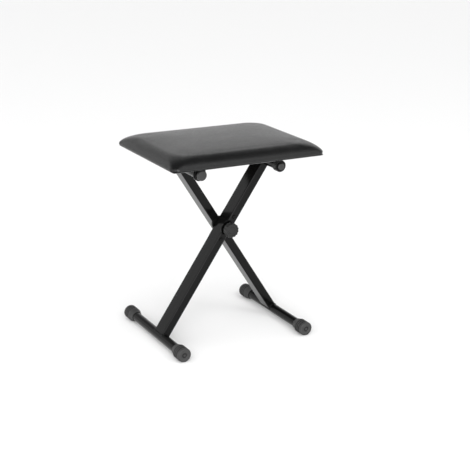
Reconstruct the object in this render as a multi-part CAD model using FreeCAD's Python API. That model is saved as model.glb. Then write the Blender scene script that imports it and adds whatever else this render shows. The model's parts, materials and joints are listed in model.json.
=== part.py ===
import FreeCAD, Part
import math
import os

# Folding keyboard bench: a padded seat on an X of two rectangular tubes.
# Millimetres, +Z up, +X along the long side of the seat, -Y towards the knob.
# The origin is on the floor, midway between the two foot bars. The bench stands at its highest setting.

os.makedirs("parts", exist_ok=True)

# Seat pad
SEAT_LENGTH = 390.0
SEAT_DEPTH = 290.0
SEAT_HEIGHT = 470.0
LOW_SEAT_HEIGHT = 370.0
SEAT_THICKNESS = 32.0
SEAT_CORNER_RADIUS = 25.0
SEAT_TOP_CORNER_RADIUS = 32.0
SEAT_EDGE_RUN = 31.0
SEAT_TUCK_RADIUS = 5.0
SEAT_EDGE_STEPS = 6
SEAT_TUCK_STEPS = 2
COVER_WALL = 0.8
COVER_LIP = 26.0
FOAM_SIDE = 7.0
BOARD_THICKNESS = 12.0

# Staples that hold the cover under the board
STAPLE_CROWN = 10.0
STAPLE_WIRE = 0.7
STAPLE_LEG = 6.0
STAPLE_PITCH = 34.0
STAPLE_INSET = 15.0

# Crossed legs
CROSS_TUBE_INSET = 95.0
PIVOT_HEIGHT = 262.0
LEG_WIDTH = 20.0
LEG_DEPTH = 40.0
LEG_WALL = 1.5
LEG_CORNER_RADIUS = 2.5
LEG_GAP = 5.0

# Cross tubes at the top and foot bars at the floor
CROSS_TUBE_DIAMETER = 22.0
CROSS_TUBE_WALL = 1.5
CROSS_TUBE_DROP = 25.0
HINGE_TUBE_STICK_OUT = 8.5
FOOT_BAR_DIAMETER = 22.0
FOOT_BAR_WALL = 1.5
FOOT_OVERALL_LENGTH = 290.0

# Rubber foot caps
FOOT_CAP_DIAMETER = 33.0
FOOT_CAP_LENGTH = 40.0
FOOT_CAP_FLARE = 13.0
FOOT_CAP_COLLAR_WALL = 1.2
FOOT_CAP_END_WALL = 5.0
FOOT_CAP_EDGE_RADIUS = 3.0
FOOT_CAP_EDGE_STEPS = 5
FOOT_CAP_GROOVE_WIDTH = 1.6
FOOT_CAP_GROOVE_DEPTH = 0.9
FOOT_CAP_GROOVE_PITCH = 6.0
FOOT_CAP_GROOVES = 3
FOOT_CAP_DIMPLE_DIAMETER = 13.0
FOOT_CAP_DIMPLE_DEPTH = 1.2

# Hinge brackets, left side of the seat
BRACKET_SHEET = 2.5
BRACKET_EAR_RADIUS = 15.0
BRACKET_EAR_INSET = 58.5
BRACKET_FLANGE_LENGTH = 66.0
BRACKET_FLANGE_DEPTH = 24.0
BRACKET_SCREW_SPACING = 46.0
BRACKET_GUSSET = 12.0
BUSH_WALL = 1.2
BUSH_FLANGE_DIAMETER = 29.0
BUSH_FLANGE_THICKNESS = 1.2
BUSH_CLEARANCE = 0.1

# Domed caps on the hinge tube
TUBE_CAP_DIAMETER = 23.5
TUBE_CAP_HEAD = 5.0
TUBE_CAP_PLUG = 12.0
TUBE_CAP_EDGE_RADIUS = 2.5

# Slide rails, right side of the seat
RAIL_INSET = 51.0
RAIL_WIDTH = 26.0
RAIL_HEIGHT = 8.0
RAIL_SHEET = 1.5
RAIL_SLOT = 10.0
RAIL_RUNOUT = 6.0
RAIL_TONGUE = 24.0
RAIL_WING = 18.0
RAIL_WING_LENGTH = 24.0
RAIL_WING_END = 22.0

# Nylon glides that carry the slide tube in the rails
GLIDE_DIAMETER = 27.0
GLIDE_WIDTH = 12.0
GLIDE_HEAD_LENGTH = 26.0
GLIDE_HEAD_WIDTH = 20.0
GLIDE_NECK_LENGTH = 13.0
GLIDE_CLEARANCE = 0.3
GLIDE_BORE_CLEARANCE = 0.1
SLIDE_WASHER_DIAMETER = 27.0
SLIDE_WASHER_THICKNESS = 1.5
SLIDE_BOLT_DIAMETER = 8.0
SLIDE_BOLT_HEAD_DIAMETER = 17.0
SLIDE_BOLT_HEAD_HEIGHT = 4.5
SLIDE_BOLT_LENGTH = 16.0
SLIDE_INSERT_LENGTH = 20.0

# Seat screws and their tee nuts
SEAT_SCREW_DIAMETER = 6.0
SEAT_SCREW_HEAD_DIAMETER = 11.0
SEAT_SCREW_HEAD_HEIGHT = 3.2
SEAT_SCREW_SOCKET = 4.0
SCREW_DOME_SHARE = 0.6
TEE_NUT_BARREL_DIAMETER = 8.0
TEE_NUT_FLANGE_DIAMETER = 18.0
TEE_NUT_FLANGE_THICKNESS = 1.2

# Pivot and height lock
PIVOT_BOLT_DIAMETER = 8.0
PIVOT_BOLT_HEAD_FLATS = 13.0
PIVOT_BOLT_HEAD_HEIGHT = 5.3
PIVOT_WASHER_DIAMETER = 18.0
PIVOT_WASHER_THICKNESS = 1.6
PIVOT_SLEEVE_WALL = 1.8
PIVOT_CLEARANCE = 0.1
LOCK_PLATE_DIAMETER = 36.0
LOCK_PLATE_THICKNESS = 1.8
LOCK_TAB_WIDTH = 16.0
LOCK_TAB_CORNER = 4.0
LOCK_SCREW_SPACING = 60.0
LOCK_TAB_END = 8.0
LOCK_TEETH = 36
LOCK_TOOTH_HEIGHT = 0.5
LOCK_TOOTH_WIDTH = 1.1
LOCK_RING_INNER_DIAMETER = 20.0
LOCK_SPRING_DIAMETER = 18.0
LOCK_SPRING_SHEET = 0.5
LOCK_SPRING_CLEARANCE = 0.1
LOCK_SCREW_DIAMETER = 5.0
LOCK_SCREW_HEAD_DIAMETER = 9.0
LOCK_SCREW_HEAD_HEIGHT = 2.6
LOCK_SCREW_SOCKET = 3.0

# Clamp knob
CLAMP_WASHER_DIAMETER = 38.0
CLAMP_WASHER_THICKNESS = 2.5
CLAMP_WASHER_CHAMFER = 0.8
KNOB_DIAMETER = 35.0
KNOB_HEIGHT = 19.0
KNOB_HEAD_HEIGHT = 13.0
KNOB_NECK_DIAMETER = 24.0
KNOB_FLUTES = 14
KNOB_FLUTE_RADIUS = 2.6
KNOB_FLUTE_DEPTH = 1.3
KNOB_EDGE_RADIUS = 1.5
KNOB_RUNNING_GAP = 0.3
KNOB_INSERT_DIAMETER = 13.0
KNOB_INSERT_LENGTH = 12.0
KNOB_THREAD_CLEARANCE = 0.05
KNOB_CAP_DIAMETER = 20.0
KNOB_CAP_THICKNESS = 1.6

# Heights and places that follow from the sizes above
seat_bottom = SEAT_HEIGHT - SEAT_THICKNESS
board_bottom = seat_bottom + COVER_WALL
board_top = board_bottom + BOARD_THICKNESS
cross_z = seat_bottom - CROSS_TUBE_DROP
foot_z = FOOT_CAP_DIAMETER / 2
cross_x = SEAT_LENGTH / 2 - CROSS_TUBE_INSET
leg_slope = (cross_z - PIVOT_HEIGHT) / cross_x
leg_angle = math.degrees(math.atan(leg_slope))
foot_x = (PIVOT_HEIGHT - foot_z) / leg_slope
upper_half = math.hypot(cross_x, cross_z - PIVOT_HEIGHT)
lower_half = math.hypot(foot_x, PIVOT_HEIGHT - foot_z)
leg_inner_y = LEG_GAP / 2
leg_outer_y = leg_inner_y + LEG_DEPTH
pivot_bore = PIVOT_BOLT_DIAMETER / 2 + PIVOT_CLEARANCE
bracket_ear_y = SEAT_DEPTH / 2 - BRACKET_EAR_INSET
rail_y = SEAT_DEPTH / 2 - RAIL_INSET
hinge_tube_end = bracket_ear_y + HINGE_TUBE_STICK_OUT

# The slide tube's place when the seat is at its lowest setting
height_change = SEAT_HEIGHT - LOW_SEAT_HEIGHT
low_rise = (cross_z - foot_z - height_change) / (lower_half + upper_half)
low_cross_x = -cross_x + 2 * upper_half * math.sqrt(1 - low_rise ** 2)

glide_half = GLIDE_WIDTH / 2
slide_tube_end = rail_y + glide_half + GLIDE_CLEARANCE
rail_inner_x = cross_x - GLIDE_HEAD_LENGTH / 2 - GLIDE_CLEARANCE - RAIL_SHEET
rail_outer_x = low_cross_x + RAIL_RUNOUT

AXIS_X = FreeCAD.Vector(1, 0, 0)
AXIS_Y = FreeCAD.Vector(0, 1, 0)
AXIS_Z = FreeCAD.Vector(0, 0, 1)
ORIGIN = FreeCAD.Vector(0, 0, 0)
TOLERANCE = 1e-6


def box(x0, x1, y0, y1, z0, z1):
    return Part.makeBox(x1 - x0, y1 - y0, z1 - z0, FreeCAD.Vector(x0, y0, z0))


def cylinder_y(radius, y0, y1, x=0.0, z=0.0):
    return Part.makeCylinder(radius, y1 - y0, FreeCAD.Vector(x, y0, z), AXIS_Y)


def cylinder_z(radius, z0, z1, x=0.0, y=0.0):
    return Part.makeCylinder(radius, z1 - z0, FreeCAD.Vector(x, y, z0), AXIS_Z)


def ring_y(outer, inner, y0, y1, x=0.0, z=0.0):
    return cylinder_y(outer, y0, y1, x, z).cut(cylinder_y(inner, y0, y1, x, z))


def edges_along(shape, direction):
    # Straight edges that run one way
    found = []
    for edge in shape.Edges:
        if isinstance(edge.Curve, Part.Line):
            turn = edge.tangentAt(edge.FirstParameter).cross(direction)
            if turn.Length < TOLERANCE:
                found.append(edge)
    return found


def edges_at_height(shape, z):
    found = []
    for edge in shape.Edges:
        bounds = edge.BoundBox
        if abs(bounds.ZMin - z) < TOLERANCE and abs(bounds.ZMax - z) < TOLERANCE:
            found.append(edge)
    return found


def edges_at_front(shape, y):
    return [edge for edge in shape.Edges if abs(edge.BoundBox.YMax - y) < TOLERANCE]


def mirrored_y(shape):
    return shape.mirror(ORIGIN, AXIS_Y)


def mirrored_x(shape):
    return shape.mirror(ORIGIN, AXIS_X)


def moved(shape, x=0.0, y=0.0, z=0.0):
    copy = shape.copy()
    copy.translate(FreeCAD.Vector(x, y, z))
    return copy


def revolved_y(points, y_origin=0.0):
    # points are (radius, distance along Y) pairs of a closed outline
    vectors = [FreeCAD.Vector(radius, y_origin + along, 0) for radius, along in points]
    face = Part.Face(Part.makePolygon(vectors + vectors[:1]))
    return face.revolve(FreeCAD.Vector(0, y_origin, 0), AXIS_Y, 360)


def group(solids):
    return Part.makeCompound(solids)


def save(name, shape):
    shape.exportStep("parts/" + name + ".step")


def rounded_block(length, depth, z0, z1, corner):
    block = box(-length / 2, length / 2, -depth / 2, depth / 2, z0, z1)
    return block.makeFillet(corner, edges_along(block, AXIS_Z))


def pad_outline(inset, z, corner):
    block = rounded_block(SEAT_LENGTH - 2 * inset, SEAT_DEPTH - 2 * inset, z, z + corner, corner)
    return Part.Wire(Part.__sortEdges__(edges_at_height(block, z)))


def pad_form(skin):
    # The seat's outer form less a skin: a small tuck under its lower edge and a wide elliptical upper edge
    tuck = SEAT_TUCK_RADIUS - skin
    edge_run = SEAT_EDGE_RUN - skin
    edge_rise = SEAT_THICKNESS - SEAT_TUCK_RADIUS - skin
    widest_z = seat_bottom + SEAT_TUCK_RADIUS
    outlines = []
    for step in range(SEAT_TUCK_STEPS):
        turn = math.radians(90 * step / SEAT_TUCK_STEPS)
        inset = skin + tuck * (1 - math.sin(turn))
        outlines.append(pad_outline(inset, widest_z - tuck * math.cos(turn), SEAT_CORNER_RADIUS - inset))
    for step in range(SEAT_EDGE_STEPS + 1):
        turn = math.radians(90 * step / SEAT_EDGE_STEPS)
        share = 1 - math.cos(turn)
        corner = SEAT_CORNER_RADIUS - skin + (SEAT_TOP_CORNER_RADIUS - SEAT_CORNER_RADIUS) * share
        outlines.append(pad_outline(skin + edge_run * share, widest_z + edge_rise * math.sin(turn), corner))
    return Part.makeLoft(outlines, True)


# Where the seat screws stand: two in each hinge bracket, one in each rail's tongue and one in its wing
bracket_flange_mid_y = bracket_ear_y - BRACKET_SHEET - BRACKET_FLANGE_DEPTH / 2
bracket_screw_places = []
for side in (-1, 1):
    for end in (-1, 1):
        bracket_screw_places.append((-cross_x + end * BRACKET_SCREW_SPACING / 2, side * bracket_flange_mid_y))
rail_wing_x = rail_outer_x - RAIL_WING_END - RAIL_WING_LENGTH / 2
rail_wing_y = rail_y - RAIL_WIDTH / 2 - RAIL_WING / 2
rail_screw_places = []
for side in (-1, 1):
    rail_screw_places.append((rail_inner_x - RAIL_TONGUE / 2, side * rail_y))
    rail_screw_places.append((rail_wing_x, side * rail_wing_y))


def staple_places():
    # Centre and direction of every staple, in a row along each edge of the board
    places = []
    half_x = SEAT_LENGTH / 2 - STAPLE_INSET
    half_y = SEAT_DEPTH / 2 - STAPLE_INSET
    for half, other, along_x in ((half_x, half_y, True), (half_y, half_x, False)):
        straight = half - SEAT_CORNER_RADIUS
        count = max(2, round(2 * straight / STAPLE_PITCH) + 1)
        for index in range(count):
            along = -straight + 2 * straight * index / (count - 1)
            for side in (-1, 1):
                if along_x:
                    places.append((along, side * other, True))
                else:
                    places.append((side * other, along, False))
    return places


def staple(x, y, along_x):
    z0 = seat_bottom - STAPLE_WIRE
    half = STAPLE_CROWN / 2
    wire = STAPLE_WIRE / 2
    pieces = []
    for a0, a1, z1 in ((-half, half, seat_bottom),
                       (-half, -half + STAPLE_WIRE, seat_bottom + STAPLE_LEG),
                       (half - STAPLE_WIRE, half, seat_bottom + STAPLE_LEG)):
        if along_x:
            pieces.append(box(x + a0, x + a1, y - wire, y + wire, z0, z1))
        else:
            pieces.append(box(x - wire, x + wire, y + a0, y + a1, z0, z1))
    return pieces[0].multiFuse(pieces[1:]).removeSplitter()


def under_rail(x, y, reach):
    half = RAIL_WIDTH / 2
    near_y = rail_y - half - RAIL_WING - reach < abs(y) < rail_y + half + reach
    return near_y and rail_inner_x - RAIL_TONGUE - reach < x < rail_outer_x + reach


staples = []
for staple_x, staple_y, staple_along_x in staple_places():
    if not under_rail(staple_x, staple_y, STAPLE_CROWN / 2 + STAPLE_WIRE):
        staples.append(staple(staple_x, staple_y, staple_along_x))


# Seat pad: board, foam and cover
def make_seat():
    side = COVER_WALL + FOAM_SIDE
    board = rounded_block(SEAT_LENGTH - 2 * side, SEAT_DEPTH - 2 * side, board_bottom, board_top,
                          SEAT_CORNER_RADIUS - side)
    outer = pad_form(0.0)
    inner = pad_form(COVER_WALL)
    opening_inset = 2 * COVER_LIP
    opening = rounded_block(SEAT_LENGTH - opening_inset, SEAT_DEPTH - opening_inset,
                            seat_bottom, board_bottom, SEAT_CORNER_RADIUS - COVER_WALL)
    foam = inner.cut(board)
    cover = outer.cut(inner).cut(opening)
    barrels = []
    flanges = []
    for x, y in bracket_screw_places + rail_screw_places:
        barrels.append(cylinder_z(TEE_NUT_BARREL_DIAMETER / 2, seat_bottom, board_top, x, y))
        flange_top = board_top + TEE_NUT_FLANGE_THICKNESS
        flanges.append(cylinder_z(TEE_NUT_FLANGE_DIAMETER / 2, board_top, flange_top, x, y))
    board = board.cut(group(barrels + staples))
    foam = foam.cut(group(flanges))
    cover = cover.cut(group(barrels + staples))
    save("seat_board", board)
    save("seat_foam", foam)
    save("seat_cover", cover)
    save("cover_staples", group(staples))


# Tee nuts in the board and the screws that enter them from below
def tee_nut(x, y):
    barrel = cylinder_z(TEE_NUT_BARREL_DIAMETER / 2, board_bottom, board_top, x, y)
    flange = cylinder_z(TEE_NUT_FLANGE_DIAMETER / 2, board_top, board_top + TEE_NUT_FLANGE_THICKNESS, x, y)
    bore = cylinder_z(SEAT_SCREW_DIAMETER / 2, board_bottom, board_top + TEE_NUT_FLANGE_THICKNESS, x, y)
    return barrel.fuse(flange).cut(bore).removeSplitter()


def seat_screw(x, y, z_face):
    # A domed screw whose head bears on a face at z_face and whose shank rises into the board
    z_head = z_face - SEAT_SCREW_HEAD_HEIGHT
    head = cylinder_z(SEAT_SCREW_HEAD_DIAMETER / 2, z_head, z_face, x, y)
    head = head.makeFillet(SEAT_SCREW_HEAD_HEIGHT * SCREW_DOME_SHARE, edges_at_height(head, z_head))
    socket = cylinder_z(SEAT_SCREW_SOCKET / 2, z_head, z_face - SEAT_SCREW_HEAD_HEIGHT / 2, x, y)
    shank = cylinder_z(SEAT_SCREW_DIAMETER / 2, z_face, board_top, x, y)
    return head.cut(socket).fuse(shank).removeSplitter()


def make_seat_fasteners():
    bracket_face = board_bottom - BRACKET_SHEET
    rail_face = seat_bottom - RAIL_SHEET
    save("tee_nuts", group([tee_nut(x, y) for x, y in bracket_screw_places + rail_screw_places]))
    save("bracket_screws", group([seat_screw(x, y, bracket_face) for x, y in bracket_screw_places]))
    save("rail_screws", group([seat_screw(x, y, rail_face) for x, y in rail_screw_places]))


# Hinge brackets and their bushes
def hinge_bracket():
    y1 = -bracket_ear_y + BRACKET_SHEET
    flange = box(-cross_x - BRACKET_FLANGE_LENGTH / 2, -cross_x + BRACKET_FLANGE_LENGTH / 2,
                 -bracket_ear_y, y1 + BRACKET_FLANGE_DEPTH, board_bottom - BRACKET_SHEET, board_bottom)
    ear = box(-cross_x - BRACKET_EAR_RADIUS, -cross_x + BRACKET_EAR_RADIUS,
              -bracket_ear_y, y1, cross_z, board_bottom)
    tip = cylinder_y(BRACKET_EAR_RADIUS, -bracket_ear_y, y1, -cross_x, cross_z)
    gussets = []
    for side in (-1, 1):
        x0 = -cross_x + side * BRACKET_EAR_RADIUS
        top = board_bottom - BRACKET_SHEET
        points = [FreeCAD.Vector(x0, -bracket_ear_y, top),
                  FreeCAD.Vector(x0 + side * BRACKET_GUSSET, -bracket_ear_y, top),
                  FreeCAD.Vector(x0, -bracket_ear_y, top - BRACKET_GUSSET)]
        face = Part.Face(Part.makePolygon(points + points[:1]))
        gussets.append(face.extrude(FreeCAD.Vector(0, BRACKET_SHEET, 0)))
    bracket = flange.multiFuse([ear, tip] + gussets).removeSplitter()
    hole_radius = CROSS_TUBE_DIAMETER / 2 + BUSH_CLEARANCE + BUSH_WALL
    bracket = bracket.cut(cylinder_y(hole_radius, -bracket_ear_y, y1, -cross_x, cross_z))
    screw_holes = [cylinder_z(SEAT_SCREW_DIAMETER / 2, board_bottom - BRACKET_SHEET, board_bottom, x, y)
                   for x, y in bracket_screw_places if y < 0]
    return bracket.cut(group(screw_holes))


def hinge_bush():
    inner = CROSS_TUBE_DIAMETER / 2 + BUSH_CLEARANCE
    y1 = -bracket_ear_y + BRACKET_SHEET
    sleeve = ring_y(inner + BUSH_WALL, inner, -bracket_ear_y, y1, -cross_x, cross_z)
    flange = ring_y(BUSH_FLANGE_DIAMETER / 2, inner, y1, y1 + BUSH_FLANGE_THICKNESS, -cross_x, cross_z)
    return sleeve.fuse(flange).removeSplitter()


# Slide rails: shallow C channels, closed at the inner end and open at the outer end
def slide_rail():
    half = RAIL_WIDTH / 2
    z0 = seat_bottom - RAIL_HEIGHT
    mouth_x = rail_inner_x + RAIL_SHEET
    body = box(rail_inner_x, rail_outer_x, -rail_y - half, -rail_y + half, z0, seat_bottom)
    hollow = box(mouth_x, rail_outer_x, -rail_y - half + RAIL_SHEET, -rail_y + half - RAIL_SHEET,
                 z0 + RAIL_SHEET, seat_bottom - RAIL_SHEET)
    slot = box(mouth_x, rail_outer_x, -rail_y - RAIL_SLOT / 2, -rail_y + RAIL_SLOT / 2, z0, z0 + RAIL_SHEET)
    tongue = box(rail_inner_x - RAIL_TONGUE, rail_inner_x, -rail_y - half, -rail_y + half,
                 seat_bottom - RAIL_SHEET, seat_bottom)
    wing = box(rail_wing_x - RAIL_WING_LENGTH / 2, rail_wing_x + RAIL_WING_LENGTH / 2,
               -rail_y + half, -rail_y + half + RAIL_WING, seat_bottom - RAIL_SHEET, seat_bottom)
    rail = body.cut(hollow).cut(slot).multiFuse([tongue, wing]).removeSplitter()
    holes = [cylinder_z(SEAT_SCREW_DIAMETER / 2, seat_bottom - RAIL_SHEET, seat_bottom, x, y)
             for x, y in rail_screw_places if y < 0]
    return rail.cut(group(holes))


def glide():
    # A ring on the slide tube with a tee head that runs inside the rail
    head_top = seat_bottom - RAIL_SHEET - GLIDE_CLEARANCE
    head_bottom = seat_bottom - RAIL_HEIGHT + RAIL_SHEET + GLIDE_CLEARANCE
    head = box(cross_x - GLIDE_HEAD_LENGTH / 2, cross_x + GLIDE_HEAD_LENGTH / 2,
               -rail_y - GLIDE_HEAD_WIDTH / 2, -rail_y + GLIDE_HEAD_WIDTH / 2, head_bottom, head_top)
    neck_half = RAIL_SLOT / 2 - GLIDE_CLEARANCE
    neck = box(cross_x - GLIDE_NECK_LENGTH / 2, cross_x + GLIDE_NECK_LENGTH / 2,
               -rail_y - neck_half, -rail_y + neck_half, cross_z, head_bottom)
    y0 = -rail_y - glide_half
    y1 = -rail_y + glide_half
    ring = cylinder_y(GLIDE_DIAMETER / 2, y0, y1, cross_x, cross_z)
    bore = cylinder_y(CROSS_TUBE_DIAMETER / 2 + GLIDE_BORE_CLEARANCE, y0, y1, cross_x, cross_z)
    return head.multiFuse([neck, ring]).cut(bore).removeSplitter()


def make_seat_hardware():
    for name, shape in (("hinge_bracket", hinge_bracket()), ("hinge_bush", hinge_bush()),
                        ("slide_rail", slide_rail()), ("glide", glide())):
        save(name + "_front", shape)
        save(name + "_back", mirrored_y(shape))


# Legs. The front leg rises from the left foot to the right side of the seat and is drawn first along X.
def on_leg(shape):
    placed = shape.copy()
    placed.rotate(ORIGIN, AXIS_Y, -leg_angle)
    placed.translate(FreeCAD.Vector(0, 0, PIVOT_HEIGHT))
    return placed


def leg_tube():
    half = LEG_WIDTH / 2
    y0 = -leg_outer_y
    y1 = -leg_inner_y
    outer = box(-lower_half, upper_half, y0, y1, -half, half)
    outer = outer.makeFillet(LEG_CORNER_RADIUS, edges_along(outer, AXIS_X))
    inner = box(-lower_half, upper_half, y0 + LEG_WALL, y1 - LEG_WALL, -half + LEG_WALL, half - LEG_WALL)
    inner = inner.makeFillet(LEG_CORNER_RADIUS - LEG_WALL, edges_along(inner, AXIS_X))
    tube = outer.cut(inner)
    cuts = [cylinder_y(FOOT_BAR_DIAMETER / 2, y0, y1, -lower_half),
            cylinder_y(CROSS_TUBE_DIAMETER / 2, y0, y1, upper_half),
            cylinder_y(pivot_bore + PIVOT_SLEEVE_WALL, y0, y1)]
    for side in (-1, 1):
        cuts.append(cylinder_y(LOCK_SCREW_DIAMETER / 2, y0, y1, side * LOCK_SCREW_SPACING / 2))
    return tube.cut(group(cuts))


def pivot_sleeve():
    return ring_y(pivot_bore + PIVOT_SLEEVE_WALL, pivot_bore, -leg_outer_y, -leg_inner_y)


def lock_plate():
    # A toothed steel plate on the inner face of the leg
    y0 = -leg_inner_y
    y1 = y0 + LOCK_PLATE_THICKNESS
    tab_half = LOCK_SCREW_SPACING / 2 + LOCK_TAB_END
    disc = cylinder_y(LOCK_PLATE_DIAMETER / 2, y0, y1)
    tab = box(-tab_half, tab_half, y0, y1, -LOCK_TAB_WIDTH / 2, LOCK_TAB_WIDTH / 2)
    tab = tab.makeFillet(LOCK_TAB_CORNER, edges_along(tab, AXIS_Y))
    inner = LOCK_RING_INNER_DIAMETER / 2
    outer = LOCK_PLATE_DIAMETER / 2 - LOCK_TOOTH_HEIGHT
    teeth = []
    for index in range(LOCK_TEETH):
        tooth = box(inner, outer, y1 - LOCK_TOOTH_HEIGHT, y1 + LOCK_TOOTH_HEIGHT,
                    -LOCK_TOOTH_WIDTH / 2, LOCK_TOOTH_WIDTH / 2)
        tooth.rotate(ORIGIN, AXIS_Y, 360 * index / LOCK_TEETH)
        teeth.append(tooth)
    plate = disc.multiFuse([tab] + teeth).removeSplitter()
    holes = [cylinder_y(pivot_bore, y0, y1)]
    for side in (-1, 1):
        holes.append(cylinder_y(LOCK_SCREW_DIAMETER / 2, y0, y1, side * LOCK_SCREW_SPACING / 2))
    return plate.cut(group(holes))


def lock_screw(side):
    x = side * LOCK_SCREW_SPACING / 2
    y0 = -leg_outer_y - LOCK_SCREW_HEAD_HEIGHT
    head = cylinder_y(LOCK_SCREW_HEAD_DIAMETER / 2, y0, -leg_outer_y, x)
    head = head.makeFillet(LOCK_SCREW_HEAD_HEIGHT * SCREW_DOME_SHARE, edges_at_front(head, y0))
    socket = cylinder_y(LOCK_SCREW_SOCKET / 2, y0, -leg_outer_y - LOCK_SCREW_HEAD_HEIGHT / 2, x)
    shank = cylinder_y(LOCK_SCREW_DIAMETER / 2, -leg_outer_y, -leg_inner_y + LOCK_PLATE_THICKNESS, x)
    return head.cut(socket).fuse(shank).removeSplitter()


def foot_bar():
    half = FOOT_OVERALL_LENGTH / 2 - FOOT_CAP_END_WALL
    radius = FOOT_BAR_DIAMETER / 2
    return ring_y(radius, radius - FOOT_BAR_WALL, -half, half, -foot_x, foot_z)


def foot_cap():
    # Drawn from the closed end at the front towards the collar
    radius = FOOT_CAP_DIAMETER / 2
    bore = FOOT_BAR_DIAMETER / 2
    collar = bore + FOOT_CAP_COLLAR_WALL
    dimple = FOOT_CAP_DIMPLE_DIAMETER / 2
    flare_start = FOOT_CAP_LENGTH - FOOT_CAP_FLARE
    outline = [(0, FOOT_CAP_DIMPLE_DEPTH), (dimple, FOOT_CAP_DIMPLE_DEPTH), (dimple, 0),
               (radius - FOOT_CAP_EDGE_RADIUS, 0)]
    for step in range(1, FOOT_CAP_EDGE_STEPS + 1):
        angle = math.radians(90 * step / FOOT_CAP_EDGE_STEPS)
        outline.append((radius - FOOT_CAP_EDGE_RADIUS * (1 - math.sin(angle)),
                        FOOT_CAP_EDGE_RADIUS * (1 - math.cos(angle))))
    first = flare_start - FOOT_CAP_GROOVE_PITCH * FOOT_CAP_GROOVES
    for index in range(FOOT_CAP_GROOVES):
        along = first + FOOT_CAP_GROOVE_PITCH * index
        outline += [(radius, along), (radius - FOOT_CAP_GROOVE_DEPTH, along),
                    (radius - FOOT_CAP_GROOVE_DEPTH, along + FOOT_CAP_GROOVE_WIDTH),
                    (radius, along + FOOT_CAP_GROOVE_WIDTH)]
    outline += [(radius, flare_start), (collar, FOOT_CAP_LENGTH), (bore, FOOT_CAP_LENGTH),
                (bore, FOOT_CAP_END_WALL), (0, FOOT_CAP_END_WALL)]
    cap = revolved_y(outline, -FOOT_OVERALL_LENGTH / 2)
    return moved(cap, -foot_x, 0, foot_z)


def hinge_tube():
    radius = CROSS_TUBE_DIAMETER / 2
    return ring_y(radius, radius - CROSS_TUBE_WALL, -hinge_tube_end, hinge_tube_end, -cross_x, cross_z)


def tube_cap():
    y1 = -hinge_tube_end
    head = cylinder_y(TUBE_CAP_DIAMETER / 2, y1 - TUBE_CAP_HEAD, y1, -cross_x, cross_z)
    head = head.makeFillet(TUBE_CAP_EDGE_RADIUS, edges_at_front(head, y1 - TUBE_CAP_HEAD))
    plug = cylinder_y(CROSS_TUBE_DIAMETER / 2 - CROSS_TUBE_WALL, y1, y1 + TUBE_CAP_PLUG, -cross_x, cross_z)
    return head.fuse(plug).removeSplitter()


def slide_tube():
    radius = CROSS_TUBE_DIAMETER / 2
    return ring_y(radius, radius - CROSS_TUBE_WALL, -slide_tube_end, slide_tube_end, cross_x, cross_z)


def slide_insert():
    radius = CROSS_TUBE_DIAMETER / 2 - CROSS_TUBE_WALL
    return ring_y(radius, SLIDE_BOLT_DIAMETER / 2, -slide_tube_end, -slide_tube_end + SLIDE_INSERT_LENGTH,
                  cross_x, cross_z)


def slide_washer():
    y1 = -slide_tube_end
    return ring_y(SLIDE_WASHER_DIAMETER / 2, SLIDE_BOLT_DIAMETER / 2, y1 - SLIDE_WASHER_THICKNESS, y1,
                  cross_x, cross_z)


def slide_bolt():
    y1 = -slide_tube_end - SLIDE_WASHER_THICKNESS
    y0 = y1 - SLIDE_BOLT_HEAD_HEIGHT
    head = cylinder_y(SLIDE_BOLT_HEAD_DIAMETER / 2, y0, y1, cross_x, cross_z)
    head = head.makeFillet(SLIDE_BOLT_HEAD_HEIGHT * SCREW_DOME_SHARE, edges_at_front(head, y0))
    shank = cylinder_y(SLIDE_BOLT_DIAMETER / 2, y1, y1 + SLIDE_BOLT_LENGTH, cross_x, cross_z)
    return head.fuse(shank).removeSplitter()


def make_legs():
    # The back leg is the front leg mirrored across the middle of the bench both ways
    front = {"leg_tube": on_leg(leg_tube()),
             "pivot_sleeve": on_leg(pivot_sleeve()),
             "lock_plate": on_leg(lock_plate()),
             "lock_screws": group([on_leg(lock_screw(side)) for side in (-1, 1)]),
             "foot_bar": foot_bar()}
    for name, shape in front.items():
        save("front_" + name, shape)
        save("back_" + name, mirrored_x(mirrored_y(shape)))
    cap = foot_cap()
    save("front_foot_cap_front", cap)
    save("front_foot_cap_back", mirrored_y(cap))
    save("back_foot_cap_front", mirrored_x(cap))
    save("back_foot_cap_back", mirrored_x(mirrored_y(cap)))


def make_cross_tubes():
    save("hinge_tube", hinge_tube())
    save("slide_tube", slide_tube())
    end_cap = tube_cap()
    save("hinge_tube_cap_front", end_cap)
    save("hinge_tube_cap_back", mirrored_y(end_cap))
    for name, shape in (("slide_inserts", slide_insert()), ("slide_washers", slide_washer()),
                        ("slide_bolts", slide_bolt())):
        save(name, group([shape, mirrored_y(shape)]))


# Pivot bolt with its washer and the spring that parts the lock plates
def pivot_bolt():
    head_y = leg_outer_y + PIVOT_WASHER_THICKNESS
    corner = PIVOT_BOLT_HEAD_FLATS / math.sqrt(3)
    points = []
    for index in range(6):
        angle = math.radians(60 * index)
        rise = corner * math.sin(angle)
        points.append(FreeCAD.Vector(corner * math.cos(angle), head_y, PIVOT_HEIGHT + rise))
    face = Part.Face(Part.makePolygon(points + points[:1]))
    head = face.extrude(FreeCAD.Vector(0, PIVOT_BOLT_HEAD_HEIGHT, 0))
    tip_y = knob_back_y() - KNOB_INSERT_LENGTH
    shank = cylinder_y(PIVOT_BOLT_DIAMETER / 2, tip_y, head_y, 0, PIVOT_HEIGHT)
    return head.fuse(shank).removeSplitter()


def pivot_washer():
    return ring_y(PIVOT_WASHER_DIAMETER / 2, PIVOT_BOLT_DIAMETER / 2, leg_outer_y,
                  leg_outer_y + PIVOT_WASHER_THICKNESS, 0, PIVOT_HEIGHT)


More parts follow.
